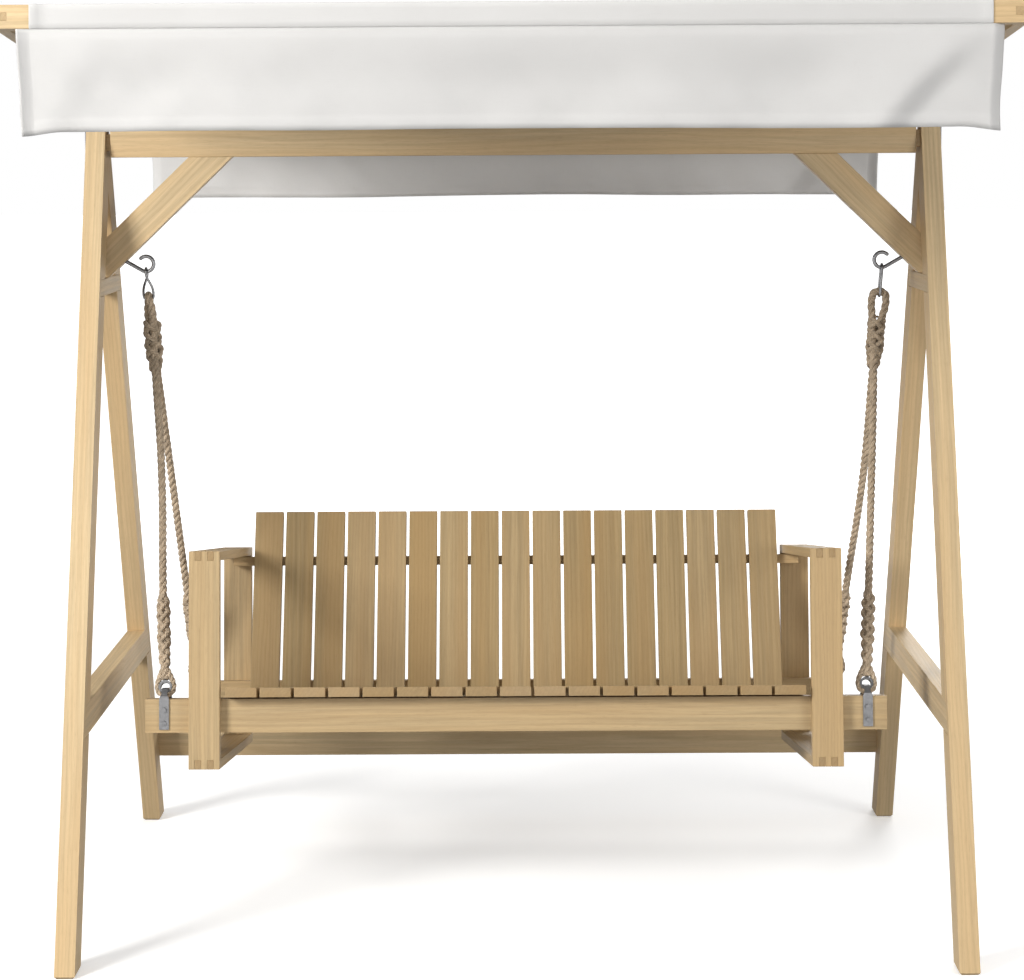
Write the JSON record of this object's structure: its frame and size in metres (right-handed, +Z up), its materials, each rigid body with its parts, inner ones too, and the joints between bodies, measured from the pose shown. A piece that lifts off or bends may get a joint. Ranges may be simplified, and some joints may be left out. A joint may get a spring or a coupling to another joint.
{
  "type": "canopy swing bench",
  "caption": "Slatted wooden bench hung by ropes from a two-A-frame stand with a ridge beam, under a tilted rectangular canopy with cloth top and hanging front and rear flaps.",
  "frame": {"origin": "ground level under the middle of the stand, the centre of the whole object's box", "axes": "+X to the right along the bench, +Y to the rear, +Z up; the front faces -Y"},
  "size_m": [2.075, 1.7108, 2.0735],
  "materials": {
    "stand_timber": "oiled matt",
    "bench_timber": "oiled matt",
    "back_slats": "oiled matt",
    "canopy_timber": "oiled matt",
    "canopy_cloth": "woven matt",
    "rope": "laid rope",
    "galvanised_steel": "galvanised"
  },
  "bodies": {
    "stand": {"canopy_bracket_left": "galvanised_steel", "canopy_bracket_right": "galvanised_steel", "canopy_pivot_bolts": "galvanised_steel", "hook_left": "galvanised_steel", "hook_right": "galvanised_steel", "knee_brace_left": "stand_timber", "knee_brace_right": "stand_timber", "leg_front_left": "stand_timber", "leg_front_right": "stand_timber", "leg_rear_left": "stand_timber", "leg_rear_right": "stand_timber", "lower_tie_left": "stand_timber", "lower_tie_right": "stand_timber", "rear_stretcher": "stand_timber", "ridge_beam": "stand_timber", "stand_screws": "galvanised_steel", "upper_tie_left": "stand_timber", "upper_tie_right": "stand_timber"},
    "swing": {"arm_left": "bench_timber", "arm_right": "bench_timber", "back_slats": "back_slats", "back_upper_rail": "bench_timber", "bottom_rail_left": "bench_timber", "bottom_rail_right": "bench_timber", "front_beam": "bench_timber", "front_post_left": "bench_timber", "front_post_right": "bench_timber", "hanger_strap_front_left": "galvanised_steel", "hanger_strap_front_right": "galvanised_steel", "hanger_strap_rear_left": "galvanised_steel", "hanger_strap_rear_right": "galvanised_steel", "link_left": "galvanised_steel", "link_right": "galvanised_steel", "rear_beam": "bench_timber", "rear_post_left": "bench_timber", "rear_post_right": "bench_timber", "rope_end_front_left": "rope", "rope_end_front_right": "rope", "rope_end_rear_left": "rope", "rope_end_rear_right": "rope", "rope_left": "rope", "rope_right": "rope", "seat_bearer_left": "bench_timber", "seat_bearer_right": "bench_timber", "seat_rear_rail": "bench_timber", "seat_slats": "bench_timber", "strap_bolts": "galvanised_steel", "thimble_front_left": "galvanised_steel", "thimble_front_right": "galvanised_steel", "thimble_rear_left": "galvanised_steel", "thimble_rear_right": "galvanised_steel"},
    "canopy": {"canopy_front_rail": "canopy_timber", "canopy_front_valance": "canopy_cloth", "canopy_middle_rail": "canopy_timber", "canopy_rear_rail": "canopy_timber", "canopy_rear_valance": "canopy_cloth", "canopy_side_rail_left": "canopy_timber", "canopy_side_rail_right": "canopy_timber", "canopy_sleeve_bands": "canopy_cloth", "canopy_top_cloth": "canopy_cloth"}
  },
  "joints": [
    {"name": "swing_hang", "type": "hinge", "parent": "stand", "child": "swing", "pos_m": [0, 0, 1.495], "axis": [1, 0, 0], "range_deg": [-20, 20]},
    {"name": "canopy_tilt", "type": "hinge", "parent": "stand", "child": "canopy", "pos_m": [0, 0, 1.964], "axis": [1, 0, 0], "range_deg": [-8, 10]}
  ]
}
